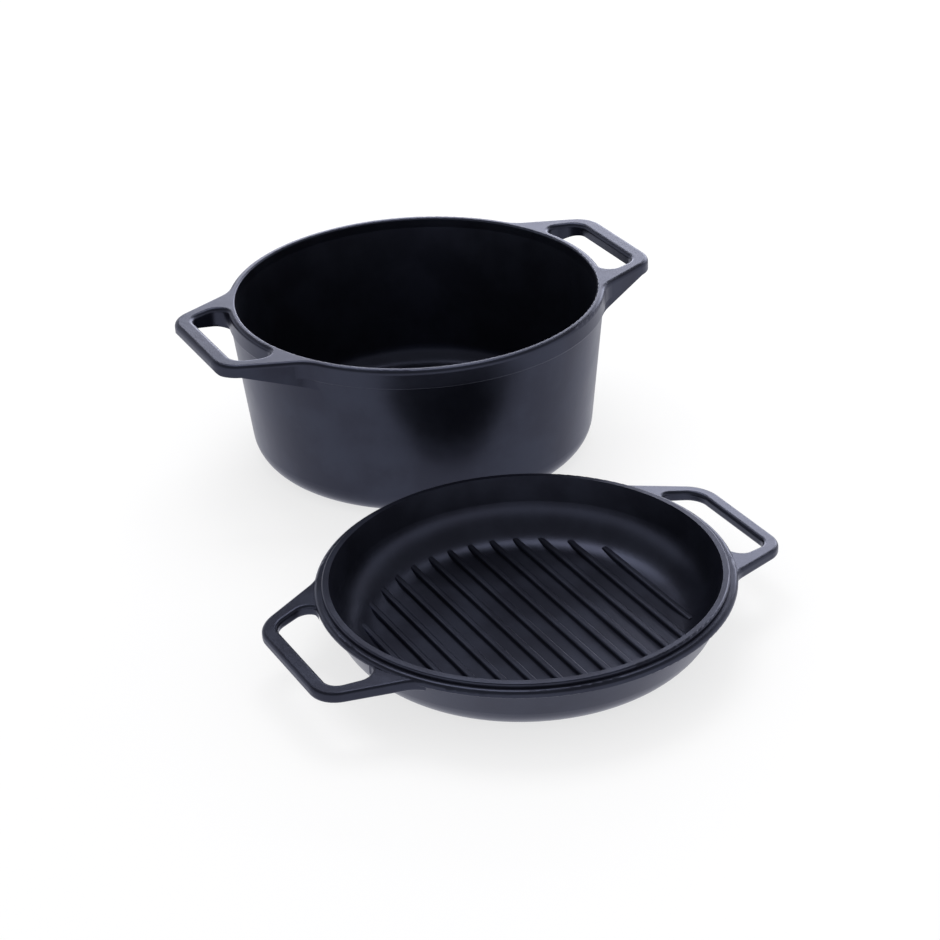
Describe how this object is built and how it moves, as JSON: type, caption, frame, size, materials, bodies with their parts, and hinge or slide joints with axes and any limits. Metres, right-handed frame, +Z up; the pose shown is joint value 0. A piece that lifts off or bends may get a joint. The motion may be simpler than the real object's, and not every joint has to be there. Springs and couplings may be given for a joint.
{
  "type": "cast iron combo cooker",
  "caption": "Deep round cast iron pot with two loop handles, and a shallow ribbed grill pan with matching handles that turns over to become its lid.",
  "frame": {"origin": "centre of the pot's base, on the surface that the pot and the pan stand on", "axes": "+X through the pot's two handles, +Y away from the grill pan, +Z up out of the pot's mouth"},
  "size_m": [0.3751, 0.508, 0.1124],
  "materials": {
    "seasoned_cast_iron": "oiled and seasoned, satin"
  },
  "bodies": {
    "pot": {"pot": "seasoned_cast_iron"},
    "grill_pan": {"grill_pan": "seasoned_cast_iron"}
  },
  "joints": [
    {"name": "pan_lift", "type": "slide", "parent": "pot", "child": "grill_pan", "axis": [0, 0, 1], "range_m": [0, 0.2]}
  ]
}
